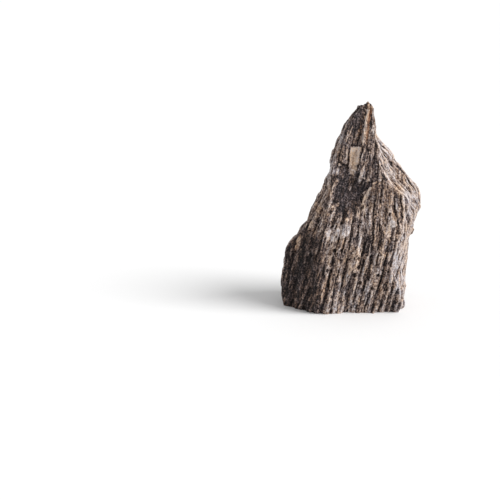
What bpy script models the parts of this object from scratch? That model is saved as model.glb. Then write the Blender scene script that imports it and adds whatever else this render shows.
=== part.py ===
"""A standing block of fossil wood stone for an aquascape: one broken piece, grown and split as one solid.

The block is lofted from level rings of points. Six broken edges, called arrises here, run from the foot to
the tip, and each ring joins them in turn. The relief moves each point of a ring level with the ground: ribs
and split plates that run along the fibre of their face, bites where splinters have come away, and pits. All
lengths are in metres, +Z is up, the broad front face looks along -Y, and the origin is on the ground under
the middle of the block.
"""
import math

import bmesh
import bpy
from mathutils import Vector, noise

HEIGHT = 0.2395
TOP_RING = 0.2320

# Each arris from the foot up, as (height, x, y). In order round the block, seen from above, anticlockwise.
ARRISES = (
    # left outline, with the shoulder that ends at 0.087
    (
        (0.000, -0.0725, -0.004), (0.036, -0.0722, 0.001), (0.056, -0.0733, 0.005), (0.068, -0.0708, 0.006),
        (0.080, -0.0635, 0.004), (0.087, -0.0535, 0.006), (0.111, -0.0455, 0.011), (0.131, -0.0330, 0.012),
        (0.141, -0.0260, 0.010), (0.172, -0.0192, 0.010), (0.197, -0.0106, 0.010), (0.2175, -0.0018, 0.009),
        (0.226, 0.0060, 0.007), (0.232, 0.0125, 0.006),
    ),
    # front left
    (
        (0.000, -0.0390, -0.040), (0.034, -0.0370, -0.042), (0.091, -0.0340, -0.040),
        (0.119, -0.0260, -0.034), (0.140, -0.0210, -0.028), (0.168, -0.0165, -0.020),
        (0.192, -0.0090, -0.013), (0.223, 0.0040, -0.006), (0.232, 0.0140, -0.003),
    ),
    # front right, which is the ridge beside the long slope
    (
        (0.000, 0.0640, -0.036), (0.017, 0.0620, -0.040), (0.051, 0.0520, -0.044), (0.076, 0.0540, -0.045),
        (0.110, 0.0595, -0.043), (0.132, 0.0665, -0.037), (0.138, 0.0625, -0.035), (0.150, 0.0515, -0.033),
        (0.160, 0.0410, -0.031), (0.181, 0.0355, -0.023), (0.202, 0.0300, -0.015), (0.2155, 0.0290, -0.008),
        (0.2265, 0.0265, -0.004), (0.232, 0.0270, -0.003),
    ),
    # right outline: the upright face, the shoulder at 0.132 and the long slope above it
    (
        (0.000, 0.0725, 0.006), (0.048, 0.0725, 0.010), (0.070, 0.0770, 0.004), (0.091, 0.0795, 0.001),
        (0.117, 0.0850, 0.006), (0.132, 0.0850, 0.009), (0.140, 0.0815, 0.008), (0.154, 0.0695, 0.008),
        (0.169, 0.0560, 0.009), (0.182, 0.0460, 0.010), (0.195, 0.0320, 0.010), (0.2100, 0.0322, 0.009),
        (0.2170, 0.0305, 0.008), (0.2265, 0.0280, 0.007), (0.232, 0.0288, 0.006),
    ),
    # back right, with the ledge at 0.114 where a slab has split off the back
    (
        (0.000, 0.0520, 0.045), (0.040, 0.0440, 0.054), (0.075, 0.0520, 0.049), (0.096, 0.0580, 0.052),
        (0.114, 0.0620, 0.050), (0.122, 0.0610, 0.038), (0.150, 0.0510, 0.036), (0.184, 0.0290, 0.031),
        (0.215, 0.0265, 0.021), (0.232, 0.0240, 0.013),
    ),
    # back left
    (
        (0.000, -0.0420, 0.035), (0.030, -0.0500, 0.043), (0.062, -0.0460, 0.050), (0.080, -0.0400, 0.049),
        (0.087, -0.0360, 0.042), (0.111, -0.0300, 0.044), (0.122, -0.0240, 0.037), (0.160, -0.0120, 0.036),
        (0.190, -0.0030, 0.031), (0.215, 0.0070, 0.020), (0.232, 0.0170, 0.012),
    ),
)

# How far the features of a face rise and fall between its arrises, so that no knee or ledge runs level.
# A slice, here and below, is where a level cut through the noise is read.
FACE_WANDER = (0.010, 0.000, 0.016, 0.030, 0.026, 0.024)
WANDER_SIZE = 0.35
WANDER_FADES_FROM = 0.17
WANDER_SLICE = 5.5

# Columns of points on the face that follows each arris. From COARSE_FROM up, every second column ends.
FACE_COLUMNS = (22, 38, 18, 20, 36, 26)
COARSE_FROM = 0.150
FACE_BULGE = (0.001, 0.000, 0.001, 0.003, 0.002, 0.003)
BULGE_FULL_WIDTH = 0.05
FRONT = 1

# Bands of rings, as (upper height, rings in the band). They are closest where the outline changes most.
ROW_BANDS = ((0.004, 1), (0.062, 7), (0.100, 6), (0.150, 8), (0.1905, 5), (0.193, 1), (TOP_RING, 5))

# Bites, as (place, half width, sharp end, soft end, depth, tilt). A place counts arrises round the block, so
# 1.5 is the middle of the front face. A bite is deepest at its sharp end and runs out at its soft end, and
# tilt is how far the sharp end climbs from the bite's middle to its side.
BITES = (
    # left and front faces: the deep hollow, the ledge above it, and small chips
    (0.55, 0.30, 0.066, 0.030, 0.0035, 0.008),
    (0.35, 0.30, 0.128, 0.105, 0.0035, 0.010),
    (1.12, 0.14, 0.174, 0.150, 0.0024, 0.000),
    (1.38, 0.27, 0.113, 0.172, 0.0095, 0.002),
    (1.44, 0.22, 0.1915, 0.158, 0.0036, 0.000),
    (1.75, 0.12, 0.060, 0.105, 0.0030, 0.006),
    (1.15, 0.10, 0.046, 0.080, 0.0025, -0.006),
    # right faces: two notches in the outline, and split plates
    (2.97, 0.20, 0.0945, 0.118, 0.0055, 0.006),
    (2.96, 0.15, 0.0790, 0.088, 0.0040, -0.004),
    (2.40, 0.25, 0.052, 0.020, 0.0032, 0.010),
    (3.45, 0.30, 0.108, 0.056, 0.0065, -0.022),
    (3.70, 0.25, 0.030, 0.070, 0.0040, 0.018),
    (3.30, 0.30, 0.176, 0.150, 0.0030, 0.012),
    # back and left back faces
    (4.45, 0.40, 0.084, 0.130, 0.0090, 0.020),
    (4.70, 0.22, 0.182, 0.145, 0.0040, -0.010),
    (4.15, 0.18, 0.062, 0.025, 0.0050, -0.010),
    (4.80, 0.16, 0.040, 0.075, 0.0040, 0.008),
    (5.30, 0.30, 0.052, 0.095, 0.0060, -0.018),
    (5.60, 0.35, 0.158, 0.112, 0.0050, 0.016),
)
BITE_EDGE = 0.005
BITE_SKEW = 0.006
BITE_RAGGED = 0.011
RAGGED_WIDTH = 0.0068
RAGGED_SLICE = 3.3
RAGGED_FULL_LENGTH = 0.04
BITE_FADES_FROM = 0.25

# Pits, as (place, height), where short pieces of fibre have weathered out of the front.
PITS = (
    (1.10, 0.078), (1.20, 0.080), (1.39, 0.070), (1.39, 0.058), (1.34, 0.049), (1.42, 0.038),
    (1.16, 0.036), (1.71, 0.066), (0.45, 0.048), (0.72, 0.030), (4.20, 0.110), (4.62, 0.052),
    (5.25, 0.070), (3.30, 0.090),
)
PIT_DEPTH = 0.0036
PIT_HALF_HEIGHT = 0.006
PIT_HALF_WIDTH = 0.0024

# Ribs run up the middle line of each face, and on the front they lean over to the right.
FRONT_LEAN = 0.20
RIB_DEPTH = 0.0075
RIB_WIDTH = 0.0088
RIB_LENGTH = 0.075
RIB_GROOVE = 0.2
SPLIT_DEPTH = 0.0036
SPLIT_WIDTH = 0.0150
SPLIT_LENGTH = 0.050
SWELL_DEPTH = 0.0050
SWELL_SIZE = 0.045
SWELL_SQUEEZE = 0.7
FOOT_INSET = 0.0015

# The relief calms towards the narrow tip, the swells more than the ribs.
CALM_FROM = 0.16
SWELL_CALM = 0.75
RIB_CALM = 0.45

# The broken tip: a shoulder, and a point beside it that stands up to the full height. It falls to the back.
TIP_SHARES = (0.82, 0.44)
TIP_SHOULDER = 0.0038
TIP_POINT_X = 0.0223
TIP_POINT_WIDTH = 0.0036
TIP_FALL = 0.22
TIP_RIM = 0.0008

STONE_COLOUR = (0.21, 0.165, 0.14, 1.0)
STONE_ROUGHNESS = 0.9


def clear_scene():
    """Removes whatever the file starts with."""
    for old in list(bpy.data.objects):
        bpy.data.objects.remove(old, do_unlink=True)


def smooth_step(low, high, value):
    """0 below low and 1 above high, with a smooth run between. high may be the lower of the two."""
    share = min(1.0, max(0.0, (value - low) / (high - low)))
    return share * share * (3.0 - 2.0 * share)


def row_heights():
    """The height of each ring, from the ground to the top ring."""
    heights = [0.0]
    for top, rows in ROW_BANDS:
        start = heights[-1]
        heights += [start + (top - start) * (row + 1) / rows for row in range(rows)]
    return heights


def arris_point(arris, height):
    """The arris's point at this height, as a level vector."""
    for (low, x0, y0), (high, x1, y1) in zip(arris, arris[1:]):
        if height <= high:
            share = max(0.0, height - low) / (high - low)
            return Vector((x0 + (x1 - x0) * share, y0 + (y1 - y0) * share, 0.0))
    return Vector((arris[-1][1], arris[-1][2], 0.0))


def plain_ring(height):
    """The ring before any relief, as (place, across, point). Its faces swell a little between the arrises.

    across is how far the point lies across the fibres of its face.
    """
    ring = []
    for face, columns in enumerate(FACE_COLUMNS):
        left, right = ARRISES[face], ARRISES[(face + 1) % len(ARRISES)]
        fading = FACE_WANDER[face] * (1.0 - smooth_step(WANDER_FADES_FROM, TOP_RING, height))
        for column in range(columns):
            share = column / columns
            middling = 4.0 * share * (1.0 - share)
            wander = fading * middling * noise.noise(Vector((share / WANDER_SIZE, WANDER_SLICE, face)))
            start, end = arris_point(left, height + wander), arris_point(right, height + wander)
            along = end - start
            outward = Vector((along.y, -along.x, 0.0)).normalized()
            bulge = FACE_BULGE[face] * min(1.0, along.length / BULGE_FULL_WIDTH) * middling
            point = start + along * share + outward * bulge
            across = point.x - FRONT_LEAN * height if face == FRONT else (share - 0.5) * along.length
            ring.append((face + share, across, point))
    return ring


def around(place, centre):
    """The signed distance from centre to place, counted round the block the shorter way."""
    faces = len(ARRISES)
    return (place - centre + faces / 2.0) % faces - faces / 2.0


def bite_depth(place, across_fibres, height):
    """How far the bites cut in here. A sharp end is ragged, as each rib broke at a height of its own."""
    depth = 0.0
    ragged = BITE_RAGGED * noise.noise(Vector((across_fibres / RAGGED_WIDTH, place, RAGGED_SLICE)))
    for centre, half_width, sharp, soft, deepest, tilt in BITES:
        across = around(place, centre) / half_width
        if abs(across) >= 1.0:
            continue
        upwards = 1.0 if soft > sharp else -1.0
        length = abs(soft - sharp)
        edge = sharp + upwards * BITE_SKEW * across * across + tilt * across
        edge += ragged * min(1.0, (length / RAGGED_FULL_LENGTH) ** 2)
        inside = smooth_step(edge, edge + upwards * BITE_EDGE, height)
        fading = 1.0 - smooth_step(edge + upwards * BITE_FADES_FROM * length, edge + upwards * length, height)
        depth += deepest * inside * fading * math.sqrt(1.0 - across * across)
    return depth


def pit_depth(point, height):
    """How far the pits cut in here."""
    depth = 0.0
    for place, middle in PITS:
        face = int(place)
        start = arris_point(ARRISES[face], middle)
        end = arris_point(ARRISES[(face + 1) % len(ARRISES)], middle)
        across = (point - start.lerp(end, place - face)).length / PIT_HALF_WIDTH
        along = (height - middle) / PIT_HALF_HEIGHT
        depth += PIT_DEPTH * math.exp(-across * across - along * along)
    return depth


def rib_height(face, across, height):
    """How far the fibre ribs and the split plates stand out here. The ribs are parted by narrow grooves."""
    apart = 10.0 * face
    rib = abs(noise.noise(Vector((across / RIB_WIDTH, height / RIB_LENGTH, apart)))) - RIB_GROOVE
    split = Vector((across / SPLIT_WIDTH, height / SPLIT_LENGTH, apart))
    nearest = noise.voronoi(split)[1][0]
    plate = noise.cell(nearest) - 0.5
    return RIB_DEPTH * rib + SPLIT_DEPTH * plate


def relief(place, across, point, height):
    """The whole relief at one point of a ring, outwards. It is less towards the narrow tip."""
    calm = smooth_step(CALM_FROM, TOP_RING, height)
    swell = noise.noise(Vector((point.x, point.y, height * SWELL_SQUEEZE)) / SWELL_SIZE)
    out = SWELL_DEPTH * swell * (1.0 - SWELL_CALM * calm)
    out += rib_height(int(place), across, height) * (1.0 - RIB_CALM * calm)
    return out - bite_depth(place, across, height) - pit_depth(point, height)


def block_ring(height):
    """One ring of the finished surface."""
    plain = plain_ring(height)
    if height > COARSE_FROM:
        plain = plain[::2]
    centre = sum((point for _, _, point in plain), Vector()) / len(plain)
    inset = FOOT_INSET if height == 0.0 else 0.0
    ring = []
    for place, across, point in plain:
        outward = (point - centre).normalized()
        moved = point + outward * (relief(place, across, point, height) - inset)
        ring.append(Vector((moved.x, moved.y, height)))
    return ring


def tip_height(point, front):
    """The height of the broken tip at this point, where front is the y of the tip's front edge."""
    rise = math.exp(-((point.x - TIP_POINT_X) / TIP_POINT_WIDTH) ** 2)
    crest = TOP_RING + TIP_SHOULDER + (HEIGHT - TOP_RING - TIP_SHOULDER) * rise
    return max(TOP_RING + TIP_RIM, crest - TIP_FALL * (point.y - front))


def tip_rings(top):
    """The broken tip above the top ring, as rings drawn in from it."""
    centre = sum(top, Vector()) / len(top)
    rings = []
    for share in TIP_SHARES:
        points = [centre + (point - centre) * share for point in top]
        front = min(point.y for point in points)
        rings.append([Vector((point.x, point.y, tip_height(point, front))) for point in points])
    return rings


def bridge(mesh, lower, upper):
    """Faces between two rings, the upper with as many points or half as many."""
    count = len(upper)
    halved = len(lower) == 2 * count
    for i in range(count):
        after = (i + 1) % count
        if halved:
            first, middle, last = (lower[(2 * i + step) % len(lower)] for step in range(3))
            mesh.faces.new((first, middle, upper[i]))
            mesh.faces.new((middle, upper[after], upper[i]))
            mesh.faces.new((middle, last, upper[after]))
        else:
            mesh.faces.new((lower[i], lower[after], upper[after], upper[i]))


def fan(mesh, ring, centre, downwards):
    """Faces from a ring to one middle point."""
    middle = mesh.verts.new(centre)
    count = len(ring)
    for i in range(count):
        after = (i + 1) % count
        corners = (ring[after], ring[i], middle) if downwards else (ring[i], ring[after], middle)
        mesh.faces.new(corners)


def build_block(material):
    """The stone as one closed mesh, standing on the ground with its box centred on the origin."""
    rings = [block_ring(height) for height in row_heights()]
    rings += tip_rings(rings[-1])
    xs = [point.x for ring in rings for point in ring]
    ys = [point.y for ring in rings for point in ring]
    shift = Vector(((min(xs) + max(xs)) / 2.0, (min(ys) + max(ys)) / 2.0, 0.0))

    mesh = bmesh.new()
    verts = [[mesh.verts.new(point - shift) for point in ring] for ring in rings]
    for lower, upper in zip(verts, verts[1:]):
        bridge(mesh, lower, upper)
    foot_middle = sum((vert.co for vert in verts[0]), Vector()) / len(verts[0])
    tip_middle = Vector((TIP_POINT_X, min(point.y for point in rings[-1]) + TIP_POINT_WIDTH, HEIGHT)) - shift
    fan(mesh, verts[0], foot_middle, downwards=True)
    fan(mesh, verts[-1], tip_middle, downwards=False)

    data = bpy.data.meshes.new("rock")
    mesh.to_mesh(data)
    mesh.free()
    data.materials.append(material)
    rock = bpy.data.objects.new("rock", data)
    bpy.context.scene.collection.objects.link(rock)
    return rock


def stone_material():
    """Dull grey-brown fossil wood."""
    material = bpy.data.materials.new("fossil_wood_stone")
    material.use_nodes = True
    shader = material.node_tree.nodes["Principled BSDF"]
    shader.inputs["Base Color"].default_value = STONE_COLOUR
    shader.inputs["Roughness"].default_value = STONE_ROUGHNESS
    shader.inputs["Metallic"].default_value = 0.0
    return material


clear_scene()
build_block(stone_material())
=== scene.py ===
"""The looks of a fossil wood stone: its fine relief, its material, a pale stage, soft light and the camera.

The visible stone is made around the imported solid. The solid is cut level by level, each cut becomes one ring
of a fine mesh, and ribs, splinters, pits and cracks are then carved along the grain. The grain has two
frames: a broad one for the front and the back, and a side one for the two ends. Lengths here are in
millimetres until the mesh is written, in metres, at the end.
"""

import math

import bpy
import numpy as np
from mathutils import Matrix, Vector
from mathutils.bvhtree import BVHTree


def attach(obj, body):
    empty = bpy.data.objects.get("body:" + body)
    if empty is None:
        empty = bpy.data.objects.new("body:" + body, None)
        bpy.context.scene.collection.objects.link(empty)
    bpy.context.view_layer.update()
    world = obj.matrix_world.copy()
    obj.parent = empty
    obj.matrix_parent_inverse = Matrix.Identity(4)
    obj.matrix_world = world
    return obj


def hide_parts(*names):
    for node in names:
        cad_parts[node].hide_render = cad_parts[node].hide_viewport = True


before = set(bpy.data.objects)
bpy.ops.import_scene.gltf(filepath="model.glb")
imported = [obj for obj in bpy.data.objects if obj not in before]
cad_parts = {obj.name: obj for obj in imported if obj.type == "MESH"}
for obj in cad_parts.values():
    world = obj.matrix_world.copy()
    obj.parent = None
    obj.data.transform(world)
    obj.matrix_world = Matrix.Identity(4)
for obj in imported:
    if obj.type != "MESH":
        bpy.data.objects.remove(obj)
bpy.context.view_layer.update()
NODE = "rock"
MM = 1000.0

# The fine mesh: columns round the stone, halved above COARSE_FROM, and rings one above the other. Over
# TOP_RING the rings draw in by TIP_SHARES, and rays from RAY_FROM down lay them on the solid.
COLUMNS = 640
RING_STEP = 1.3
COARSE_FROM = 150.0
TOP_RING = 232.0
TIP_SHARES = (0.93, 0.85, 0.75, 0.63, 0.49, 0.33, 0.16)
RAY_FROM = 300.0

# Each cut is read at this many angles, from a centre that is smoothed over CENTRE_BLUR rings. The columns are
# spread evenly along the cut, smoothed by PLAIN_BLUR in angles and in rings. The first and the last cut are
# made CUT_MARGIN inside the solid.
ANGLES = 1440
CENTRE_BLUR = 6.0
PLAIN_BLUR = (36.0, 8.0)
CUT_MARGIN = 0.05

# How far, in columns and in rings, the faceted solid is smoothed: for the surface itself, for the directions
# in which the relief stands out, and for the ends' grain, which so runs straight past the bites.
SURFACE_BLUR = (2.2, 1.0)
NORMAL_BLUR = (7.0, 3.0)
FRAME_BLUR = (18.0, 26.0)

# The small shelf at the left of the broken tip: where it starts to reach out, how far it does, its height
# over the top ring, how it falls to the back, and the x between which its reach and its height end.
SHELF_FROM = 222.0
SHELF_REACH = 2.2
SHELF_HEIGHT = 5.0
SHELF_FALL = 0.22
SHELF_REACH_END = (9.0, 16.0)
SHELF_END = (13.0, 16.0)

# The top of the broken tip: its tone, the x between which it turns rusty and lighter, how deep its crumbs
# are, and how much faster its grain changes to the back than across, so that it is as fine both ways.
TIP_TONE = 0.32
RUSTY_TIP = (13.5, 17.0)
RUSTY_LIGHTER = 0.32
CRUMB_DEPTH = 1.6
END_GRAIN = 13.0

# The broad grain leans to the right as it rises, and from FAN_FROM up it also draws together to the tip.
LEAN = 0.20
FAN_FROM = 90.0
FAN = 0.0055
FAN_LEAN = 0.12
FAN_MIDDLE = 8.0

# The grain of the two ends: how far apart its long lines run below the right shoulder and on the slope above,
# the blend between the two, its lean, and how much it is stretched on the slope. On the slope the tone has
# more contrast.
SHOULDER = 132.0
SIDE_PITCH = 3.5
SLOPE_PITCH = 3.3
SLOPE_BLEND = 5.0
SLOPE_STRETCH = 0.45
SLOPE_CONTRAST = 1.35
SIDE_LEAN = 0.06

# Directions round the stone, in degrees from the right, where the broad grain gives way to the side grain.
# The blend at each is END_BLEND to both sides and wanders by END_WANDER. The right end starts FOOT_TURN
# earlier at the foot, less so between the heights in FOOT_TURN_HEIGHT, and only to the right of RIGHT_FROM.
RIGHT_END = (-54.0, 66.0)
LEFT_END = (126.0, -165.0)
END_BLEND = 4.0
END_WANDER = 9.0
FOOT_TURN = 7.0
FOOT_TURN_HEIGHT = (20.0, 70.0)
RIGHT_FROM = (4.0, 14.0)

# The right end has x above RIGHT_HALF, and the back has y above BACK_HALF. Their noise is taken FAR_OFF along
# the grain, so that it doesn't repeat that of the left end and of the front.
RIGHT_HALF = 15.0
BACK_HALF = 5.0
FAR_OFF = 1000.0

# Patches of the front face. Each has a middle, half width, half height and lean, then how much it changes
# the tone, the warmth and the height of the surface in millimetres, and how much of the relief it smooths.
PATCHES = {
    # The three hollow patches darken the tone: partly the stone's own dark colour there, partly painted shade
    # in the hollow.
    "hollow": ((-5.0, 138.5), 17.0, 25.0, 0.22, -0.31, -0.50, -1.2, 0.80),
    "hollow_wing": ((12.8, 145.5), 5.2, 9.5, 0.75, -0.30, -0.50, -1.0, 0.75),
    "hollow_top": ((-10.0, 162.0), 14.0, 8.0, 0.0, -0.18, -0.30, -0.5, 0.60),
    "pale_rib": ((8.6, 159.5), 2.2, 11.0, 0.22, 0.30, -0.05, 0.5, 0.45),
    "grey_top": ((-19.0, 163.5), 3.6, 3.8, 0.10, 0.30, -0.45, 0.4, 0.40),
    "brown_low": ((-2.0, 124.0), 7.5, 7.0, 0.20, 0.05, 0.40, 0.2, 0.20),
    "white_chip": ((-3.0, 143.9), 1.3, 2.8, 0.40, 0.30, -0.20, 0.3, 0.00),
    "grey_low": ((-23.5, 94.5), 7.5, 8.0, 0.20, 0.17, -0.40, 0.5, 0.25),
    "grey_high": ((-11.0, 99.5), 7.5, 7.5, 0.20, 0.20, -0.65, 0.6, 0.35),
    "beige_right": ((42.6, 106.0), 5.4, 15.0, 0.18, 0.22, -0.10, 0.6, 0.60),
    "tan_left": ((-30.0, 138.0), 2.4, 6.0, 0.60, 0.16, 0.60, 0.4, 0.20),
    "tan_left_foot": ((-62.5, 76.0), 3.6, 10.0, 0.20, 0.27, 0.50, 0.2, 0.20),
    "spire_dark": ((4.0, 219.0), 6.5, 15.0, 0.30, -0.22, -0.45, -0.3, 0.70),
    "cream_chip": ((-18.0, 127.0), 2.4, 2.6, 0.4, 0.34, 0.40, 0.6, 0.10),
    "dark_wall": ((15.5, 84.0), 3.6, 13.0, 0.22, -0.22, -0.30, -1.3, 0.25),
    "dark_low_right": ((38.0, 42.0), 4.2, 13.0, 0.20, -0.12, -0.15, -0.9, 0.15),
    "soft_right": ((32.0, 139.0), 15.0, 16.0, 0.10, 0.03, 0.20, 0.0, 0.45),
    "rust_left": ((-25.0, 152.0), 3.4, 10.0, 0.45, -0.08, 0.40, 0.0, 0.50),
    "pale_left": ((-30.5, 80.0), 8.0, 20.0, 0.20, 0.11, 0.00, 0.0, 0.00),
    # Painted shade on the front, between the pale rib and the right arris.
    "painted_shade_right": ((19.5, 164.0), 6.5, 14.0, 0.15, -0.13, -0.10, -0.3, 0.45),
}

# How ragged the rims are on the front and on the ends. Patches with a half width below RAGGED_FROM are less
# ragged, and those that lighten the tone by more than PALE have less of the material's fine grain.
FRONT_RAGGED = 0.16
END_RAGGED = 0.22
RAGGED_FROM = 9.0
PALE = 0.3

# The smooth pale plate under the ledge, as (z, left, right, tone) along its top and along its foot, then its
# height, its warmth, and how much it hides of the fine grain, of the relief and of the tone below.
PLATE_TOP = (191.0, -3.6, 9.2, 1.06)
PLATE_FOOT = (150.0, -5.8, 0.8, 0.70)
PLATE_HEIGHT = -0.5
PLATE_WARMTH = 0.75
PLATE_CALM = 0.55
PLATE_SMOOTHER = 0.85
PLATE_COVER = 0.92

# Lines on the front face, from one end to the other. Each has a half width, then tone, warmth and height.
LINES = {
    "spire_streak": ((18.2, 237.0), (9.6, 196.0), 1.6, 0.46, -0.40, 0.5),
    "spire_streak_low": ((15.6, 220.0), (10.6, 193.5), 1.1, 0.34, 0.10, 0.4),
    "spire_rust": ((20.8, 240.0), (13.0, 194.0), 2.2, 0.10, 1.80, 0.3),
    "spire_rust_left": ((11.0, 226.0), (2.4, 194.0), 2.4, -0.04, 0.95, 0.0),
    "tip_slot": ((21.6, 227.0), (19.2, 212.5), 1.8, -0.70, -0.30, -1.6),
    "slot_chip": ((22.6, 215.0), (19.6, 200.0), 1.5, 0.50, -0.10, 0.6),
    "spire_pale_left": ((-1.0, 214.0), (-13.0, 186.0), 1.0, 0.26, 0.60, 0.5),
    "ledge_shadow": ((-5.6, 192.2), (16.0, 191.8), 0.9, -0.50, 0.30, -0.7),
    # Painted shadow at the right end of the ledge, over a small notch of dark red-brown stone.
    "ledge_end_shadow": ((14.5, 191.0), (16.8, 186.5), 1.5, -0.60, 0.50, -1.4),
    "plate_stripe": ((-7.0, 189.5), (-8.6, 171.0), 1.0, 0.30, 0.30, 0.3),
    "plate_edge": ((-4.8, 190.5), (-6.4, 166.0), 0.9, -0.50, 0.20, -1.2),
    "plate_side": ((10.8, 190.5), (4.6, 168.0), 1.2, -0.50, -0.10, -1.2),
    "rib_shadow": ((8.6, 172.0), (4.4, 156.0), 1.0, -0.40, -0.30, -0.9),
    "hollow_side": ((-19.2, 159.5), (-23.2, 126.0), 2.4, -0.34, 0.00, -0.4),
    # Painted shade: a dark band on the front along the arris below the slope.
    "arris_painted_shade": ((30.0, 181.0), (38.0, 154.0), 2.5, -0.44, -0.20, -0.4),
    "corner_rib": ((47.8, 131.0), (50.8, 109.0), 1.6, 0.30, 0.00, 0.6),
    "corner_dark": ((44.6, 104.0), (41.2, 75.0), 1.9, -0.34, -0.20, -1.2),
    "middle_rib": ((8.8, 93.0), (4.0, 56.0), 2.2, 0.16, 0.00, 0.5),
    "crack": ((-17.0, 174.6), (-4.6, 167.0), 1.5, -0.80, 0.00, -2.0),
    # The rim lines are lighter: partly the rim's own warm pale stone, partly painted light where the hollow's
    # lower ledge catches it.
    "rim_left": ((-34.3, 119.7), (-19.5, 112.4), 1.3, 0.16, 0.00, 0.7),
    "rim_middle": ((-19.5, 111.4), (0.7, 112.4), 2.2, 0.15, 0.55, 0.7),
    "rim_right": ((0.7, 112.4), (15.4, 122.9), 1.6, 0.26, 0.40, 0.9),
    "rim_end": ((15.4, 122.9), (27.0, 131.0), 1.0, 0.20, 0.20, 0.6),
    "border_rib": ((9.2, 122.5), (19.0, 147.0), 1.5, 0.52, 0.60, 1.4),
    "border_bend": ((19.5, 150.7), (27.0, 153.5), 1.3, 0.36, 0.60, 0.9),
    "groove": ((17.8, 92.5), (14.8, 69.2), 2.2, -0.45, 0.00, -1.6),
    "notch": ((37.6, 70.0), (36.2, 58.0), 1.7, -0.50, 0.00, -1.8),
    "pale_streak": ((21.5, 168.0), (13.0, 145.0), 1.2, 0.26, 0.10, 0.5),
    # Painted highlight: a light line along the arris, from the spire down the slope to the shoulder.
    "upper_ridge_highlight": ((26.5, 190.0), (36.5, 158.0), 1.0, 0.34, 0.10, 0.4),
    "lower_ridge_highlight": ((36.5, 158.0), (60.0, 134.0), 1.1, 0.36, 0.10, 0.4),
}

# Round black pits of the lower front, as (x, z), with their half width, their height over their width, their
# depth and what they add to the tone.
PITS = (
    (-21.5, 74.6), (-13.6, 75.8), (5.9, 67.5), (6.2, 55.7), (1.8, 46.2), (8.8, 36.6), (-17.5, 35.4),
    (28.5, 47.0), (-29.0, 52.0), (23.0, 30.0),
)
PIT_HALF = 1.9
PIT_STRETCH = 1.4
PIT_DEPTH = 2.4
PIT_TONE = -0.45

# A bite and a dark lump on the right end. Each has a middle (y, z), half width, half height, height of the
# surface and what it adds to the tone.
SIDE_CHIPS = (
    ((2.0, 100.0), 13.0, 6.0, -4.2, -0.12),
    ((3.0, 89.0), 11.0, 5.0, 1.6, -0.42),
)
CHIP_LEAN = 0.1

# Where the ends are worn back: how far, round which height and over what reach.
WORN_RIGHT = (3.0, 147.0, 11.0)
WORN_LEFT = (2.4, 136.0, 12.0)

# How far a point has to face the front, or an end, before what belongs there starts, and where it is full.
FRONT_FACING = (0.20, 0.45)
END_FACING = (0.3, 0.6)

# The middle tones of the front and of the slope, and what the broad parts of the stone add to the tone.
FRONT_TONE = 0.44
SLOPE_TONE = 0.50
RIGHT_END_TONE = 0.12
LEFT_END_TONE = -0.20
HIGH_LEFT_TONE = 0.17
SPIRE_TONE = -0.10
LEFT_FOOT_TONE = -0.33
TIP_SIDE_TONE = -0.26

# The warmth of the front, and how much cooler the ends and the spire are.
WARMTH = 0.07
END_COOLER = 0.33
SPIRE_COOLER = 0.22

# How much lower the relief and the contrast are near the tip, and how much smoother the left foot and the
# ends look.
TIP_LOWER = 0.45
SPIRE_FLATTER = 0.30
LEFT_FOOT_CALM = 0.6
END_CALM = 0.15

# The tone never quite reaches DARKEST: it bends away from it, so that the darkest stone keeps its grain.
DARKEST = 0.10
DARK_BEND = 0.07

# The floor in metres, its colour, and the light: even daylight, and a broad soft sun.
FLOOR_REACH = 14.0
FLOOR_COLOUR = (0.86, 0.86, 0.86, 1.0)
FLOOR_ROUGHNESS = 0.9
DAYLIGHT = 0.58
SUN_ENERGY = 3.0
SUN_WIDTH = 32.0
SUN_FROM = (0.80, -0.26, 0.75)

# The camera, at the photograph's angle: its place in metres, how far it looks down in degrees, and its lens
# and sensor in millimetres.
CAMERA_PLACE = (-0.11752, -1.57102, 0.48573)
CAMERA_ELEVATION = 15.0
CAMERA_LENS = 100.0
CAMERA_SENSOR = 36.0


def smooth_step(low, high, value):
    """0 below low and 1 above high, with a smooth run between."""
    share = np.clip((value - low) / (high - low), 0.0, 1.0)
    return share * share * (3.0 - 2.0 * share)


def lattice(column, row, seed):
    """A fixed random number from 0 to 1 for each whole column and row."""
    mixed = column.astype(np.int64) * 374761393 + row.astype(np.int64) * 668265263 + seed * 974634777
    mixed = mixed & 0xFFFFFFFF
    mixed = ((mixed ^ (mixed >> 13)) * 1274126177) & 0xFFFFFFFF
    mixed = ((mixed ^ (mixed >> 15)) * 2246822519) & 0xFFFFFFFF
    return ((mixed ^ (mixed >> 16)) & 0xFFFFF) / float(0xFFFFF)


def waves(across, along, seed):
    """Smooth noise from -1 to 1, with one bump or dip to each unit."""
    column = np.floor(across)
    row = np.floor(along)
    u = smooth_step(0.0, 1.0, across - column)
    v = smooth_step(0.0, 1.0, along - row)
    low = lattice(column, row, seed) * (1.0 - u) + lattice(column + 1, row, seed) * u
    high = lattice(column, row + 1, seed) * (1.0 - u) + lattice(column + 1, row + 1, seed) * u
    return (low * (1.0 - v) + high * v) * 2.0 - 1.0


def strands(across, along, seed, edge, end):
    """Splinters one unit wide and about one unit long, each at a level of its own from -1 to 1. edge is the
    part of a width in which one steps to the next, and end the part of a length."""
    column = np.floor(across)
    levels = []
    for strand in (column, column + 1):
        pace = 0.6 + 0.9 * lattice(strand, strand, seed + 1)
        place = along * pace + 17.0 * lattice(strand, strand, seed + 2)
        row = np.floor(place)
        low = lattice(strand, row, seed)
        high = lattice(strand, row + 1, seed)
        levels.append(low + (high - low) * smooth_step(0.5 - end / 2.0, 0.5 + end / 2.0, place - row))
    share = smooth_step(0.5 - edge / 2.0, 0.5 + edge / 2.0, across - column)
    return (levels[0] * (1.0 - share) + levels[1] * share) * 2.0 - 1.0


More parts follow.
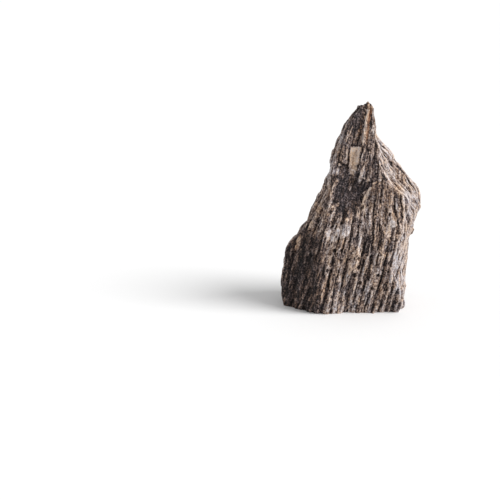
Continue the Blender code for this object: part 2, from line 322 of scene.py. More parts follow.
def cells(across, along, seed):
    """For cells one unit across: the distance to the nearest middle, and a random number for each cell."""
    column = np.floor(across)
    row = np.floor(along)
    nearest = np.full(across.shape, 9.0)
    own = np.zeros(across.shape)
    for step_across in (-1, 0, 1):
        for step_along in (-1, 0, 1):
            at_column = column + step_across
            at_row = row + step_along
            middle_across = at_column + lattice(at_column, at_row, seed)
            middle_along = at_row + lattice(at_column, at_row, seed + 1)
            distance = np.hypot(across - middle_across, along - middle_along)
            closer = distance < nearest
            own = np.where(closer, lattice(at_column, at_row, seed + 2), own)
            nearest = np.where(closer, distance, nearest)
    return nearest, own


def cad_block():
    """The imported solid's points in millimetres, and its triangles."""
    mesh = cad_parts[NODE].data
    mesh.calc_loop_triangles()
    points = np.zeros(len(mesh.vertices) * 3, np.float32)
    mesh.vertices.foreach_get("co", points)
    triangles = np.zeros(len(mesh.loop_triangles) * 3, np.int32)
    mesh.loop_triangles.foreach_get("vertices", triangles)
    return points.reshape(-1, 3).astype(float) * MM, triangles.reshape(-1, 3)


def cut(points, triangles, height):
    """The level cut through the solid, as the loose points where its edges cross that height."""
    above = points[triangles, 2] > height
    crossed = triangles[above.any(axis=1) & ~above.all(axis=1)]
    found = []
    for first, last in ((0, 1), (1, 2), (2, 0)):
        start = points[crossed[:, first]]
        end = points[crossed[:, last]]
        crosses = (start[:, 2] > height) != (end[:, 2] > height)
        start = start[crosses]
        end = end[crosses]
        share = (height - start[:, 2]) / (end[:, 2] - start[:, 2])
        found.append(start[:, :2] + (end[:, :2] - start[:, :2]) * share[:, None])
    return np.concatenate(found)


def radii(outline, centre, angles):
    """The cut's distance from the centre at each angle."""
    offset = outline - centre
    angle = np.arctan2(offset[:, 1], offset[:, 0])
    order = np.argsort(angle)
    return np.interp(angles, angle[order], np.hypot(offset[:, 0], offset[:, 1])[order], period=2.0 * math.pi)


def blur(values, axis, width, closed):
    """The values smoothed along one axis, which closes on itself or ends."""
    reach = int(math.ceil(width * 3.0))
    steps = np.arange(-reach, reach + 1)
    weights = np.exp(-0.5 * (steps / width) ** 2)
    weights /= weights.sum()
    total = np.zeros_like(values)
    count = values.shape[axis]
    for step, weight in zip(steps, weights):
        index = np.arange(count) + step
        index = index % count if closed else np.clip(index, 0, count - 1)
        total += np.take(values, index, axis=axis) * weight
    return total


def smoothed(values, width):
    """The values of a grid smoothed round the stone and up it, by a width for each."""
    return blur(blur(values, 1, width[0], closed=True), 0, width[1], closed=False)


def ring_heights():
    """The height of each ring below the broken tip."""
    count = int(round(TOP_RING / RING_STEP))
    return np.linspace(0.0, TOP_RING, count + 1)


def block_grid(points, triangles, heights):
    """The solid's surface as rings of evenly spread points, an array of (ring, column, 3)."""
    angles = np.linspace(-math.pi, math.pi, ANGLES, endpoint=False)
    levels = np.clip(heights, CUT_MARGIN, TOP_RING - CUT_MARGIN)
    cuts = [cut(points, triangles, level) for level in levels]
    centres = np.array([(outline.min(axis=0) + outline.max(axis=0)) / 2.0 for outline in cuts])
    centres = blur(centres, 0, CENTRE_BLUR, closed=False)
    polar = np.array([radii(outline, centre, angles) for outline, centre in zip(cuts, centres)])

    plain = smoothed(polar, PLAIN_BLUR)
    grid = np.zeros((len(heights), COLUMNS, 3))
    for ring, height in enumerate(heights):
        circle = plain[ring][:, None] * np.stack((np.cos(angles), np.sin(angles)), axis=1)
        pace = np.linalg.norm(np.roll(circle, -1, axis=0) - circle, axis=1)
        walked = np.concatenate(((0.0,), np.cumsum(pace)))
        goal = np.arange(COLUMNS) / COLUMNS * walked[-1]
        at = np.interp(goal, walked, np.concatenate((angles, (math.pi,))))
        radius = np.interp(at, angles, polar[ring], period=2.0 * math.pi)
        grid[ring, :, 0] = centres[ring, 0] + radius * np.cos(at)
        grid[ring, :, 1] = centres[ring, 1] + radius * np.sin(at)
        grid[ring, :, 2] = height
    return smoothed(grid, SURFACE_BLUR)


def normals(grid):
    """The outward direction at each point of a grid."""
    round_way = np.roll(grid, -1, axis=1) - np.roll(grid, 1, axis=1)
    up_way = np.gradient(grid, axis=0)
    out = np.cross(round_way, up_way)
    return out / np.linalg.norm(out, axis=-1, keepdims=True)


def grain_frames(grid, out):
    """How far each point lies across and along the grain, in the broad frame and in the side frame, and how
    much of the side frame holds there."""
    x, y, z = grid[..., 0], grid[..., 1], grid[..., 2]
    rise = np.maximum(0.0, z - FAN_FROM)
    low_lean = LEAN * np.minimum(z, FAN_FROM)
    broad_across = (x - FAN_MIDDLE - low_lean + LEAN * FAN_FROM - FAN_LEAN * rise) * (1.0 + FAN * rise)
    broad_along = z + FAR_OFF * (y > BACK_HALF)
    plain_y = smoothed(grid, FRAME_BLUR)[..., 1]
    side_across = plain_y - SIDE_LEAN * z
    side_along = z + SLOPE_STRETCH * np.maximum(0.0, z - SHOULDER) + FAR_OFF * (x > RIGHT_HALF)

    facing = np.degrees(np.arctan2(out[..., 1], out[..., 0]))
    facing = facing + END_WANDER * waves(z / 9.0, facing / 14.0, 301)
    start = RIGHT_END[0] - FOOT_TURN * (1.0 - smooth_step(*FOOT_TURN_HEIGHT, z))
    right_side = smooth_step(start - END_BLEND, start + END_BLEND, facing)
    right_side = right_side * (1.0 - smooth_step(RIGHT_END[1] - END_BLEND, RIGHT_END[1] + END_BLEND, facing))
    right_side = right_side * smooth_step(*RIGHT_FROM, x)
    left_side = smooth_step(LEFT_END[0] - END_BLEND, LEFT_END[0] + END_BLEND, facing)
    left_side = left_side + 1.0 - smooth_step(LEFT_END[1] - END_BLEND, LEFT_END[1] + END_BLEND, facing)
    side = np.clip(right_side + left_side, 0.0, 1.0)
    return (broad_across, broad_along), (side_across, side_along), side


def splintered(across, along, seed):
    """Ribs, the splits in them and the fibres on them: the relief in millimetres and the tone."""
    bent = across + 1.1 * waves(across / 14.0, along / 60.0, seed)
    bent = bent + 0.5 * waves(across / 3.0, along / 15.0, seed + 1)
    rough = bent + 0.40 * waves(across / 1.5, along / 3.4, seed + 2)
    plate = strands(rough / 8.5, along / 48.0, seed + 10, edge=0.22, end=0.06)
    phase = rough / 8.4 + 0.35 * waves(across / 22.0, along / 50.0, seed + 14)
    row = np.sin(2.0 * math.pi * phase)
    long_rib = waves(rough / 3.9, along / 60.0, seed + 15)
    rib = strands(rough / 3.1, along / 24.0, seed + 20, edge=0.45, end=0.10)
    split = strands(rough / 1.8, along / 13.0, seed + 30, edge=0.60, end=0.15)
    fibre = strands(rough / 1.3, along / 6.5, seed + 40, edge=0.8, end=0.3)
    crumb = waves(across / 1.25, along / 1.7, seed + 50)
    both = 0.62 * row + 0.42 * long_rib + 0.36 * rib
    gap = 1.0 - smooth_step(-0.64, -0.38, both)
    bridge = smooth_step(0.05, 0.35, waves(rough / 1.7, along / 4.2, seed + 55))
    gap = gap * (1.0 - 0.70 * bridge)
    nearest, own = cells(across / 3.2, along / 6.5, seed + 60)
    pit = (own < 0.26) * (1.0 - smooth_step(0.16, 0.38, nearest))
    relief = 0.7 * plate + 0.8 * both - 1.1 * gap + 0.55 * split + 0.40 * fibre + 0.22 * crumb - 1.4 * pit
    tone = 0.49 + 0.04 * plate + 0.06 * both - 0.27 * gap + 0.10 * split + 0.13 * fibre + 0.11 * crumb
    return relief, tone - 0.26 * pit


def braided(across, along, pitch, seed):
    """Thin lines that part and join round dark lenses: the relief in millimetres and the tone. The long lines
    run one pitch apart."""
    bent = across + 1.2 * waves(across / 13.0, along / 40.0, seed)
    bent = bent + 0.5 * waves(across / 4.0, along / 14.0, seed + 1)
    rough = bent + 0.22 * waves(across / 1.6, along / 4.0, seed + 2)
    plate = strands(rough / 11.0, along / 50.0, seed + 10, edge=0.20, end=0.06)
    chip = strands(rough / 8.0, along / 12.0, seed + 12, edge=0.30, end=0.22)
    fine = strands(rough / 1.6, along / 11.0, seed + 40, edge=0.7, end=0.3)
    phase = rough / pitch + 0.45 * waves(across / (2.5 * pitch), along / 38.0, seed + 30)
    between = np.abs(np.sin(math.pi * phase))
    long_line = 1.0 - smooth_step(0.22, 0.62, between)
    short_line = 1.0 - smooth_step(0.05, 0.34, np.abs(waves(bent / 1.9, along / 26.0, seed + 31)))
    line = np.maximum(long_line, 0.60 * short_line)
    hole = strands(bent / (0.75 * pitch), along / 16.0, seed + 50, edge=0.6, end=0.3)
    lens = smooth_step(-0.35, 0.15, hole) * smooth_step(0.55, 0.92, between) * (1.0 - 0.6 * short_line)
    crumb = waves(across / 1.5, along / 2.8, seed + 60)
    relief = 0.6 * plate + 0.8 * chip + 1.0 * line - 1.2 * lens + 0.3 * fine + 0.16 * crumb
    tone = 0.51 + 0.03 * plate + 0.20 * line - 0.38 * lens + 0.10 * fine + 0.06 * crumb
    return relief, tone


def patch_share(x, z, middle, half_width, half_height, lean, ragged):
    """1 inside a patch and 0 outside, with a ragged rim."""
    rise = z - middle[1]
    reach = np.hypot((x - middle[0] - lean * rise) / half_width, rise / half_height) + ragged
    return 1.0 - smooth_step(0.86, 1.06, reach)


def plate_share(x, z, ragged):
    """1 inside the pale plate, less towards its foot and 0 outside, and how far down it each point lies."""
    down = np.clip((PLATE_TOP[0] - z) / (PLATE_TOP[0] - PLATE_FOOT[0]), 0.0, 1.0)
    left = PLATE_TOP[1] + (PLATE_FOOT[1] - PLATE_TOP[1]) * down
    right = PLATE_TOP[2] + (PLATE_FOOT[2] - PLATE_TOP[2]) * down
    inside = np.minimum(x - left, right - x) + 2.5 * ragged
    inside = np.minimum(inside, (PLATE_TOP[0] - z) + ragged)
    inside = np.minimum(inside, (z - PLATE_FOOT[0]) + 9.0 * ragged)
    faded = 1.0 - 0.8 * smooth_step(0.42, 0.95, down + 1.5 * ragged)
    return smooth_step(0.0, 1.1, inside) * faded, down


def line_share(x, z, start, end, half_width, ragged):
    """1 along the middle of a line and 0 beside it, thinner towards both ends."""
    run = (end[0] - start[0], end[1] - start[1])
    length = math.hypot(*run)
    share = ((x - start[0]) * run[0] + (z - start[1]) * run[1]) / length ** 2
    aside = np.abs((x - start[0]) * run[1] - (z - start[1]) * run[0]) / length
    taper = np.sqrt(np.clip(1.0 - (2.0 * share - 1.0) ** 6, 0.0, 1.0))
    within = (share > 0.0) * (share < 1.0)
    return (1.0 - smooth_step(0.45, 1.15, aside / half_width + ragged)) * taper * within


def side_grain(x, y, z, side_frame):
    """The relief and the tone of the two ends. Above the right shoulder the lines are a little finer."""
    low_relief, low_tone = braided(*side_frame, pitch=SIDE_PITCH, seed=501)
    high_relief, high_tone = braided(*side_frame, pitch=SLOPE_PITCH, seed=541)
    wander = 4.0 * waves(y / 5.0, z / 6.0, 409)
    slope = smooth_step(-SLOPE_BLEND, SLOPE_BLEND, z - SHOULDER + wander) * (x > RIGHT_HALF)
    high_tone = SLOPE_TONE + SLOPE_CONTRAST * (high_tone - SLOPE_TONE)
    relief = low_relief * (1.0 - slope) + high_relief * slope
    return relief, low_tone * (1.0 - slope) + high_tone * slope


def grain(x, y, z, broad, side_frame, side):
    """The relief and the tone of the grain all round, and the tone of the broad grain alone."""
    broad_relief, broad_tone = splintered(*broad, seed=11)
    broad_tone = broad_tone + SPIRE_FLATTER * (FRONT_TONE - broad_tone) * smooth_step(165.0, 200.0, z)
    side_relief, side_tone = side_grain(x, y, z, side_frame)
    size = 1.0 - TIP_LOWER * smooth_step(150.0, TOP_RING, z)
    relief = (broad_relief * (1.0 - side) + side_relief * side) * size
    return relief, broad_tone * (1.0 - side) + side_tone * side, broad_tone


def left_foot_share(x, z, side):
    """1 on the dark part at the left of the front's foot, and 0 elsewhere."""
    wander_across = 3.0 * waves(x / 4.0, z / 14.0, 419)
    wander_up = 10.0 * waves(x / 5.0, z / 30.0, 417)
    share = smooth_step(-31.0, -42.0, x - 0.06 * z + wander_across) * (1.0 - side)
    return share * (1.0 - smooth_step(74.0, 100.0, z + wander_up))


def region_tone(x, z, side, left_foot):
    """What the broad parts of the stone add to the tone."""
    right_end = side * smooth_step(-10.0, 30.0, x)
    left_end = side * smooth_step(10.0, -20.0, x)
    tone = RIGHT_END_TONE * right_end + LEFT_END_TONE * left_end + LEFT_FOOT_TONE * left_foot
    tone = tone + HIGH_LEFT_TONE * left_end * smooth_step(115.0, 145.0, z)
    tone = tone + SPIRE_TONE * smooth_step(150.0, 180.0, z) * (1.0 - side)
    return tone + TIP_SIDE_TONE * right_end * smooth_step(200.0, 215.0, z)


def warmth(x, z, side):
    """How warm the stone's colour is. Below 0 it is cool."""
    warm = 0.30 * waves(x / 16.0, z / 30.0, 401) + 0.45 * waves(x / 4.0, z / 9.0, 403)
    spire = smooth_step(185.0, 205.0, z) * (1.0 - side)
    return warm + WARMTH - END_COOLER * side - SPIRE_COOLER * spire


def blotches(x, z):
    """The mottling of what has no grain."""
    wide = 0.13 * waves((x + 0.4 * z) / 5.0, (z - 0.5 * x) / 6.0, 411)
    return wide + 0.11 * waves((x - 0.7 * z) / 2.4, (z + 0.6 * x) / 3.2, 413)


def rim_noise(across, z, strength, seed):
    """What makes the rims of patches and lines ragged."""
    return strength * waves(across / 1.8, z / 2.9, seed) + 0.14 * waves(across / 4.0, z / 8.0, seed + 2)


def lay_patches(looks, x, z, front, blotch, ragged):
    """Lays the patches over the front."""
    for middle, half_width, half_height, lean, lighter, warmer, higher, smoother in PATCHES.values():
        rim = ragged * min(1.0, half_width / RAGGED_FROM)
        share = patch_share(x, z, middle, half_width, half_height, lean, rim) * front
        kept = 1.0 - smoother * share
        looks["relief"] = looks["relief"] * kept + (higher + 1.5 * smoother * blotch) * share
        looks["tone"] = looks["tone"] * kept + ((FRONT_TONE + blotch) * smoother + lighter) * share
        looks["warm"] = looks["warm"] + warmer * share
        calm = smoother * share * (1.0 if lighter > PALE else 0.5)
        looks["calm"] = np.maximum(looks["calm"], calm)


def lay_plate(looks, x, z, front, blotch, ragged, broad_tone):
    """Lays the smooth pale plate over the front."""
    plate, down = plate_share(x, z, ragged)
    plate = plate * front
    tone = PLATE_TOP[3] + (PLATE_FOOT[3] - PLATE_TOP[3]) * down
    tone = tone + 1.1 * blotch + 0.10 * (broad_tone - FRONT_TONE)
    relief = looks["relief"] * (1.0 - PLATE_SMOOTHER * plate)
    looks["relief"] = relief + (PLATE_HEIGHT + 1.2 * blotch) * plate
    looks["tone"] = looks["tone"] + (tone - looks["tone"]) * PLATE_COVER * plate
    looks["warm"] = looks["warm"] + PLATE_WARMTH * plate
    looks["calm"] = np.maximum(looks["calm"], PLATE_CALM * plate)


def lay_lines(looks, x, z, front, ragged):
    """Lays the lines over the front. Light ones are broken here and there."""
    whole = 0.35 + 0.65 * smooth_step(-0.75, 0.05, waves(x / 1.7, z / 4.5, 415))
    for start, end, half_width, lighter, warmer, higher in LINES.values():
        share = line_share(x, z, start, end, half_width, ragged) * front * (whole if lighter > 0.0 else 1.0)
        looks["relief"] = looks["relief"] + higher * share
        looks["tone"] = looks["tone"] + lighter * share
        looks["warm"] = looks["warm"] + warmer * share


def lay_pits(looks, x, z, front_face, ragged):
    """Sinks the black pits into the front."""
    for pit_x, pit_z in PITS:
        reach = np.hypot((x - pit_x) / PIT_HALF, (z - pit_z) / (PIT_STRETCH * PIT_HALF)) + ragged
        share = (1.0 - smooth_step(0.6, 1.1, reach)) * front_face
        looks["relief"] = looks["relief"] - PIT_DEPTH * share
        looks["tone"] = looks["tone"] + PIT_TONE * share


def wear_ends(looks, y, z, out):
    """Wears both ends back, and lays the bite and the lump on the right one."""
    right_face = smooth_step(*END_FACING, out[..., 0])
    left_face = smooth_step(*END_FACING, -out[..., 0])
    for (depth, height, reach), face in ((WORN_RIGHT, right_face), (WORN_LEFT, left_face)):
        looks["relief"] = looks["relief"] - depth * np.exp(-((z - height) / reach) ** 2) * face
    ragged = rim_noise(y, z, END_RAGGED, 421)
    for middle, half_width, half_height, higher, lighter in SIDE_CHIPS:
        share = patch_share(y, z, middle, half_width, half_height, CHIP_LEAN, ragged) * right_face
        looks["relief"] = looks["relief"] + higher * share
        looks["tone"] = looks["tone"] + lighter * share


def with_painted_shade_and_highlight(tone, relief):
    """The tone with painted shade in the hollows and painted highlight on what stands out, and held above
    DARKEST.
    """
    close = relief - smoothed(relief, (2.5, 1.2))
    wide = relief - smoothed(relief, (7.0, 4.0))
    tone = tone + 0.10 * np.clip(close, -1.2, 1.2) + 0.05 * np.clip(wide, -1.5, 1.5)
    return DARKEST + DARK_BEND * np.logaddexp(0.0, (tone - DARKEST) / DARK_BEND)


def carve(grid, out):
    """The fine relief in millimetres, outwards, and all that the material reads at each point."""
    x, y, z = grid[..., 0], grid[..., 1], grid[..., 2]
    broad, side_frame, side = grain_frames(grid, out)
    front = smooth_step(*FRONT_FACING, -out[..., 1])
    left_foot = left_foot_share(x, z, side)
    blotch = blotches(x, z)
    ragged = rim_noise(x, z, FRONT_RAGGED, 405)

    relief, tone, broad_tone = grain(x, y, z, broad, side_frame, side)
    looks = {
        "relief": relief,
        "tone": tone + region_tone(x, z, side, left_foot),
        "warm": warmth(x, z, side),
        "calm": np.maximum(LEFT_FOOT_CALM * left_foot, END_CALM * side),
        "side_share": side,
        "grain_broad": np.stack((*broad, np.zeros_like(z)), axis=-1),
        "grain_side": np.stack((*side_frame, np.zeros_like(z)), axis=-1),
    }
    lay_patches(looks, x, z, front, blotch, ragged)
    lay_plate(looks, x, z, front, blotch, ragged, broad_tone)
    lay_lines(looks, x, z, front, ragged)
    lay_pits(looks, x, z, front * (1.0 - side), ragged)
    wear_ends(looks, y, z, out)
    # Painted shade in the relief's hollows and painted highlight on what stands out.
    looks["tone"] = with_painted_shade_and_highlight(looks["tone"], looks["relief"])
    return looks


def halved(ring):
    """Every second point of a ring."""
    return ring[::2]


def write_mesh(rings, attributes):
    """One closed mesh from rings of points, each with as many points as the one below or half as many. The
    first and the last ring are closed by a fan to their middle."""
    starts = np.cumsum([0] + [len(ring) for ring in rings])
    foot, tip = starts[-1], starts[-1] + 1
    middles = [rings[0].mean(axis=0)[None], rings[-1].mean(axis=0)[None]]
    points = np.concatenate(rings + middles)
    faces = []
    for level in range(len(rings) - 1):
        lower = starts[level] + np.arange(len(rings[level]))
        upper = starts[level + 1] + np.arange(len(rings[level + 1]))
        after = np.roll(upper, -1)
        if len(lower) == len(upper):
            faces.append(np.stack((lower, np.roll(lower, -1), after, upper), axis=1))
        else:
            first, middle, last = lower[::2], lower[1::2], np.roll(lower[::2], -1)
            faces.append(np.stack((first, middle, upper), axis=1))
            faces.append(np.stack((middle, after, upper), axis=1))
            faces.append(np.stack((middle, last, after), axis=1))
    low = np.arange(len(rings[0]))
    high = starts[-2] + np.arange(len(rings[-1]))
    faces.append(np.stack((np.roll(low, -1), low, np.full_like(low, foot)), axis=1))
    faces.append(np.stack((high, np.roll(high, -1), np.full_like(high, tip)), axis=1))

    mesh = bpy.data.meshes.new("fossil_wood_stone")
    mesh.from_pydata((points / MM).tolist(), [], [face for group in faces for face in group.tolist()])
    for name, values in attributes.items():
        values = np.concatenate((values, values[:1], values[-1:])).astype(np.float32)
        if values.ndim == 1:
            mesh.attributes.new(name, "FLOAT", "POINT").data.foreach_set("value", values)
        else:
            mesh.attributes.new(name, "FLOAT_VECTOR", "POINT").data.foreach_set("vector", values.ravel())
    return mesh


def tip_cap(grid, points, triangles):
    """Rings over the broken tip, drawn in from the top ring and laid on the solid. On its left they stand up
    to a small shelf, which falls to the back."""
    tree = BVHTree.FromPolygons(points.tolist(), triangles.tolist())
    top = halved(grid[-1])
    centre = top.mean(axis=0)
    front = top[:, 1].min()
    rings = []
    for share in TIP_SHARES:
        ring = centre + (top - centre) * share
        for point in ring:
            hit = tree.ray_cast(Vector((point[0], point[1], RAY_FROM)), Vector((0.0, 0.0, -1.0)))[0]
            shelf = SHELF_HEIGHT - SHELF_FALL * (point[1] - front)
            shelf = shelf * (1.0 - smooth_step(*SHELF_END, point[0]))
            point[2] = max(hit.z if hit else TOP_RING, TOP_RING + max(shelf, 0.0))
        x, y = ring[:, 0], ring[:, 1]
        _, level = cells(x / 2.4 + 0.2 * y, y / 3.4, 601)
        crumb = waves(x / 1.1, y / 1.1, 603)
        ring[:, 2] += (CRUMB_DEPTH * (level - 0.75) + 0.3 * crumb) * (1.0 - share) ** 0.3
        rings.append(ring)
    return rings


def tip_looks(ring):
    """What the material reads on the broken tip, where the grain is seen end on."""
    x, y = ring[:, 0], ring[:, 1]
    blank = np.zeros_like(x)
    rusty = smooth_step(*RUSTY_TIP, x)
    mottled = 0.22 * waves(x / 1.6, y / 1.6, 611) + 0.12 * waves(x / 4.0, y / 4.0, 613)
    end_grain = np.stack((x, END_GRAIN * y, blank), axis=-1)
    return {
        "tone": TIP_TONE + RUSTY_LIGHTER * rusty + mottled,
        "warm": rusty + 0.3 * waves(x / 3.0, y / 3.0, 615),
        "calm": blank,
        "side_share": blank,
        "grain_broad": end_grain,
        "grain_side": end_grain,
    }


def build_stone():
    """The visible stone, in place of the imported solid."""
    points, triangles = cad_block()
    heights = ring_heights()
    grid = block_grid(points, triangles, heights)
    out = normals(smoothed(grid, NORMAL_BLUR))
    looks = carve(grid, out)
    moved = grid + out * looks.pop("relief")[..., None]
    aside = smooth_step(SHELF_FROM, TOP_RING, grid[..., 2])
    moved[..., 0] -= SHELF_REACH * aside * (1.0 - smooth_step(*SHELF_REACH_END, grid[..., 0]))
    moved[..., 2] = np.maximum(moved[..., 2], 0.0)
    moved[0, :, 2] = 0.0

    rings = []
    kept = {name: [] for name in looks}
    for ring, height in enumerate(heights):
        coarse = height > COARSE_FROM
        rings.append(halved(moved[ring]) if coarse else moved[ring])
        for name, values in looks.items():
            kept[name].append(halved(values[ring]) if coarse else values[ring])
    for ring in tip_cap(moved, points, triangles):
        rings.append(ring)
        for name, values in tip_looks(ring).items():
            kept[name].append(values)
    mesh = write_mesh(rings, {name: np.concatenate(parts) for name, parts in kept.items()})
    stone = bpy.data.objects.new("fossil_wood_stone", mesh)
    bpy.context.scene.collection.objects.link(stone)
    return stone


class Nodes:
    """A short way to build a material's node tree."""

    def __init__(self, name):
        self.material = bpy.data.materials.new(name)
        self.material.use_nodes = True
        self.tree = self.material.node_tree
        self.tree.nodes.clear()

    def add(self, kind, inputs=None, **settings):
        """A node with its settings, and with each input given a value or linked to an output."""
        node = self.tree.nodes.new(kind)
        for name, value in settings.items():
            setattr(node, name, value)
        for name, value in (inputs or {}).items():
            self.feed(node.inputs[name], value)
        return node

    def feed(self, socket, value):
        """Links an output to the socket, or sets the socket's own value."""
        if isinstance(value, bpy.types.NodeSocket):
            self.tree.links.new(value, socket)
        else:
            socket.default_value = value

    def math(self, operation, first, second=0.0, clamp=False):
        """One step of arithmetic."""
        node = self.add("ShaderNodeMath", {0: first, 1: second}, operation=operation, use_clamp=clamp)
        return node.outputs[0]

    def attribute(self, name):
        """A named attribute of the mesh."""
        return self.add("ShaderNodeAttribute", attribute_name=name)

    def noise(self, vector, scale, detail, roughness):
        """A noise texture's value."""
        inputs = {"Vector": vector, "Scale": scale, "Detail": detail, "Roughness": roughness}
        return self.add("ShaderNodeTexNoise", inputs).outputs[0]

    def stretched(self, vector, scale):
        """The vector with each of its parts multiplied."""
        node = self.add("ShaderNodeVectorMath", {0: vector, 1: scale}, operation="MULTIPLY")
        return node.outputs[0]

    def scaled(self, noise, strength):
        """A noise value, which lies round 0.5, as a change of either sign."""
        return self.math("MULTIPLY", self.math("SUBTRACT", noise, 0.5), strength)

    def blend(self, share, first, second):
        """A number between two others."""
        node = self.add("ShaderNodeMix", data_type="FLOAT")
        self.feed(node.inputs[0], share)
        self.feed(node.inputs[2], first)
        self.feed(node.inputs[3], second)
        return node.outputs[0]

    def blend_colour(self, share, first, second, kind="MIX"):
        """A colour between two others, or of both."""
        node = self.add("ShaderNodeMix", data_type="RGBA", blend_type=kind)
        self.feed(node.inputs[0], share)
        self.feed(node.inputs[6], first)
        self.feed(node.inputs[7], second)
        return node.outputs[2]

    def ramp(self, value, stops):
        """A colour for each value, from (place, colour) stops."""
        node = self.add("ShaderNodeValToRGB", {0: value})
        ramp = node.color_ramp
        while len(ramp.elements) < len(stops):
            ramp.elements.new(0.5)
        for element, (place, colour) in zip(ramp.elements, stops):
            element.position = place
            element.color = (*colour, 1.0)
        return node.outputs[0]


# The stone's colours, from its darkest tone to its lightest, then its rust and the tints of cool and warm.
BLACK = (0.0045, 0.0035, 0.0035)
CHARCOAL = (0.020, 0.0148, 0.0142)
UMBER = (0.080, 0.0565, 0.0525)
GREY = (0.195, 0.146, 0.129)
TAN = (0.41, 0.330, 0.290)
CREAM = (0.68, 0.595, 0.545)
RUST = (0.29, 0.125, 0.066)
COOL_TINT = (0.88, 0.98, 1.13)
WARM_TINT = (1.16, 0.99, 0.78)

# The grain of the material, as how often it changes to the millimetre across and along: broad streaks, fine
# threads and bands of warm and cool. Specks, dark pepper and stains have no grain, and change so often to the
# metre.
STREAK = (0.45, 0.045)
THREAD = (0.72, 0.085)
BAND = (0.35, 0.05)
SPECK = 560.0
PEPPER = 430.0
STAIN = 380.0

# What each adds to the tone or to the warmth, and how much of the fine ones calm stone lacks.
STREAK_TONE = 0.34
THREAD_TONE = 0.80
SPECK_TONE = 1.45
PEPPER_TONE = 0.22
BAND_WARMTH = 3.0
STAIN_WARMTH = 3.0
CALM_LACKS = 0.55

# The surface: rough and dull, with a fine grain of bumps up to BUMP_HEIGHT metres.
ROUGHNESS = 0.88
SPECULAR = 0.3
BUMP_STRENGTH = 0.7
BUMP_HEIGHT = 0.0008


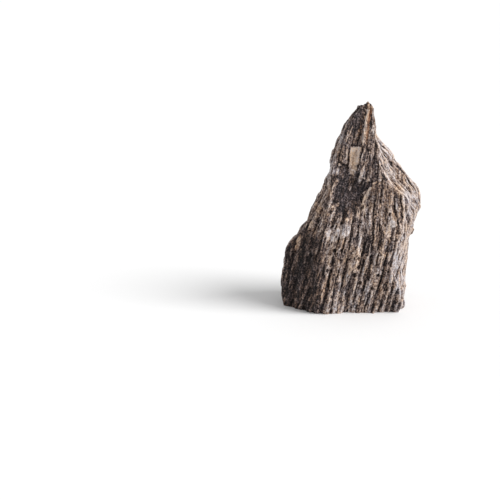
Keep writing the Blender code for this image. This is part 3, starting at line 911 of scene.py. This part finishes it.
def stone_material():
    """Fossil wood: charcoal grooves, tan and cream ribs, rusty fibres, and salt and pepper grain."""
    build = Nodes("fossil_wood")
    side = build.attribute("side_share").outputs["Fac"]
    broad = build.attribute("grain_broad").outputs["Vector"]
    sideways = build.attribute("grain_side").outputs["Vector"]
    tone = build.attribute("tone").outputs["Fac"]
    warm = build.attribute("warm").outputs["Fac"]
    calm = build.attribute("calm").outputs["Fac"]

    def fibre(pace):
        """Noise that runs along the grain of whichever frame holds."""
        scale = (*pace, 1.0)
        first = build.noise(build.stretched(broad, scale), 1.0, 2.0, 0.6)
        second = build.noise(build.stretched(sideways, scale), 1.0, 2.0, 0.6)
        return build.blend(side, first, second)

    thread = fibre(THREAD)
    place = build.add("ShaderNodeTexCoord").outputs["Object"]
    speck = build.noise(place, SPECK, 1.0, 0.7)
    pepper = build.noise(place, PEPPER, 1.0, 0.6)
    stain = build.noise(place, STAIN, 2.0, 0.6)
    rest = build.math("SUBTRACT", 1.0, build.math("MULTIPLY", calm, CALM_LACKS))

    value = build.math("ADD", tone, build.scaled(fibre(STREAK), STREAK_TONE))
    value = build.math("ADD", value, build.math("MULTIPLY", build.scaled(thread, THREAD_TONE), rest))
    value = build.math("ADD", value, build.math("MULTIPLY", build.scaled(speck, SPECK_TONE), rest))
    dots = build.math("MULTIPLY", build.math("SUBTRACT", pepper, 0.60), 6.0, clamp=True)
    dots = build.math("MULTIPLY", dots, rest)
    value = build.math("SUBTRACT", value, build.math("MULTIPLY", dots, PEPPER_TONE), clamp=True)
    tones = ((0.0, BLACK), (0.14, CHARCOAL), (0.29, UMBER), (0.48, GREY), (0.70, TAN), (0.96, CREAM))
    colour = build.ramp(value, tones)
    warm = build.math("ADD", warm, build.scaled(fibre(BAND), BAND_WARMTH))
    warm = build.math("ADD", warm, build.scaled(stain, STAIN_WARMTH))
    tint_share = build.math("ADD", build.math("MULTIPLY", warm, 0.5), 0.5, clamp=True)
    tint = build.ramp(tint_share, ((0.0, COOL_TINT), (1.0, WARM_TINT)))
    colour = build.blend_colour(1.0, colour, tint, kind="MULTIPLY")
    rust = build.math("MULTIPLY", build.math("SUBTRACT", warm, 1.05), 1.1, clamp=True)
    colour = build.blend_colour(build.math("MULTIPLY", rust, 0.5), colour, (*RUST, 1.0))

    height = build.math("ADD", build.math("MULTIPLY", thread, 0.6), build.math("MULTIPLY", speck, 0.7))
    bump_inputs = {"Height": height, "Strength": BUMP_STRENGTH, "Distance": BUMP_HEIGHT}
    bump = build.add("ShaderNodeBump", bump_inputs)
    shader = build.add("ShaderNodeBsdfPrincipled", {
        "Base Color": colour,
        "Roughness": ROUGHNESS,
        "Normal": bump.outputs[0],
        "Specular IOR Level": SPECULAR,
    })
    build.add("ShaderNodeOutputMaterial", {"Surface": shader.outputs[0]})
    return build.material


def floor_material():
    """One even pale grey."""
    build = Nodes("pale_floor")
    inputs = {"Base Color": FLOOR_COLOUR, "Roughness": FLOOR_ROUGHNESS}
    shader = build.add("ShaderNodeBsdfPrincipled", inputs)
    build.add("ShaderNodeOutputMaterial", {"Surface": shader.outputs[0]})
    return build.material


def build_stage():
    """A wide pale floor."""
    mesh = bpy.data.meshes.new("floor")
    signs = ((-1, -1), (1, -1), (1, 1), (-1, 1))
    corners = [(across * FLOOR_REACH, away * FLOOR_REACH, 0.0) for across, away in signs]
    mesh.from_pydata(corners, [], [(0, 1, 2, 3)])
    mesh.materials.append(floor_material())
    floor = bpy.data.objects.new("floor", mesh)
    bpy.context.scene.collection.objects.link(floor)


def build_light():
    """Soft daylight all round, and a broad soft sun from the right, the front and above."""
    world = bpy.data.worlds.new("studio")
    bpy.context.scene.world = world
    world.use_nodes = True
    background = world.node_tree.nodes["Background"]
    background.inputs["Color"].default_value = (1.0, 1.0, 1.0, 1.0)
    background.inputs["Strength"].default_value = DAYLIGHT
    light = bpy.data.lights.new("key", "SUN")
    light.energy = SUN_ENERGY
    light.angle = math.radians(SUN_WIDTH)
    key = bpy.data.objects.new("key", light)
    bpy.context.scene.collection.objects.link(key)
    key.rotation_euler = Vector(SUN_FROM).to_track_quat("Z", "Y").to_euler()


def build_camera():
    """The photograph's view."""
    data = bpy.data.cameras.new("camera")
    data.lens = CAMERA_LENS
    data.sensor_width = CAMERA_SENSOR
    camera = bpy.data.objects.new("camera", data)
    bpy.context.scene.collection.objects.link(camera)
    camera.location = CAMERA_PLACE
    camera.rotation_euler = (math.radians(90.0 - CAMERA_ELEVATION), 0.0, 0.0)
    bpy.context.scene.camera = camera


build_camera()
stone = build_stone()
stone.data.materials.append(stone_material())
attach(stone, "root")
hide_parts(NODE)
build_stage()
build_light()
bpy.context.scene.view_settings.view_transform = "Standard"
